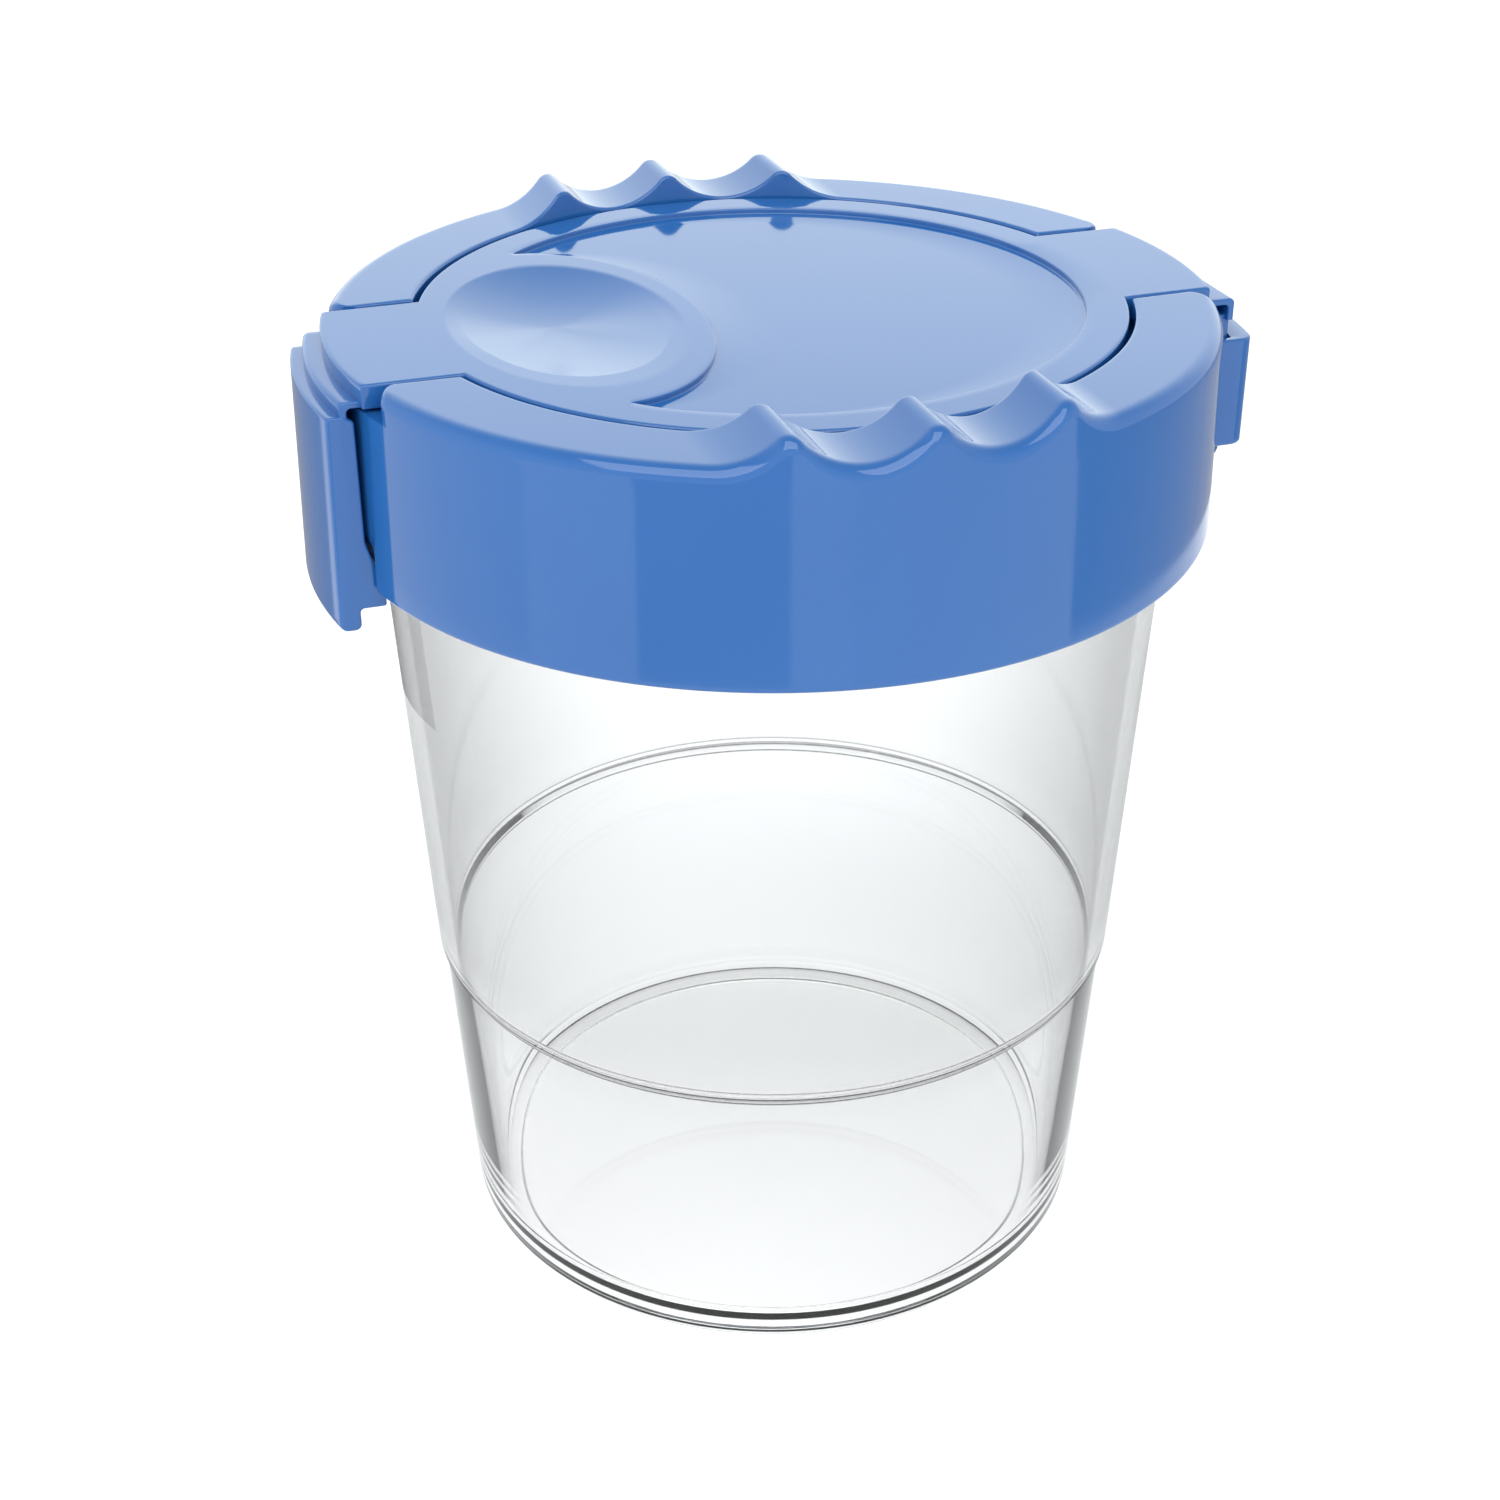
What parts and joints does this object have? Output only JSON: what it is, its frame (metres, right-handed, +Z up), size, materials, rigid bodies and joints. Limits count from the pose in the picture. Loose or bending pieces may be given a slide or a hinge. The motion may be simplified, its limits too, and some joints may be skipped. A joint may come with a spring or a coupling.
{
  "type": "no-spill paint cup",
  "caption": "Clear tapered cup with a press-fit blue collar, brush rests on the rim, a funnel insert against spills and a flip lid with a front latch.",
  "frame": {"origin": "centre of the cup's base, on the surface that it stands on", "axes": "+Z up along the cup's axis; -Y towards the latch, +Y towards the hinge, +X and -X towards the brush rests"},
  "size_m": [0.0826, 0.0905, 0.0996],
  "materials": {
    "clear_plastic": "clear, polished",
    "blue_plastic": "glossy moulded",
    "frosted_plastic": "satin, translucent",
    "grey_rubber": "matt, soft"
  },
  "bodies": {
    "cup": {"cup_body": "clear_plastic"},
    "collar": {"collar": "blue_plastic", "rim_gasket": "grey_rubber", "spill_cone": "frosted_plastic", "hinge_strap": "blue_plastic", "lid_film_hinge": "blue_plastic"},
    "lid": {"lid": "blue_plastic", "lid_seal": "grey_rubber", "latch_film_hinge": "blue_plastic"},
    "latch": {"latch_tab": "blue_plastic"}
  },
  "joints": [
    {"name": "collar_lift", "type": "slide", "parent": "cup", "child": "collar", "axis": [0, 0, 1], "range_m": [0, 0.06]},
    {"name": "lid_hinge", "type": "hinge", "parent": "collar", "child": "lid", "pos_m": [0, 0.0425, 0.0944], "axis": [-1, 0, 0], "range_deg": [0, 180]},
    {"name": "latch_flex", "type": "hinge", "parent": "lid", "child": "latch", "pos_m": [0, -0.04235, 0.0944], "axis": [-1, 0, 0], "range_deg": [0, 30], "stiffness_Nm_per_rad": 0.03}
  ]
}
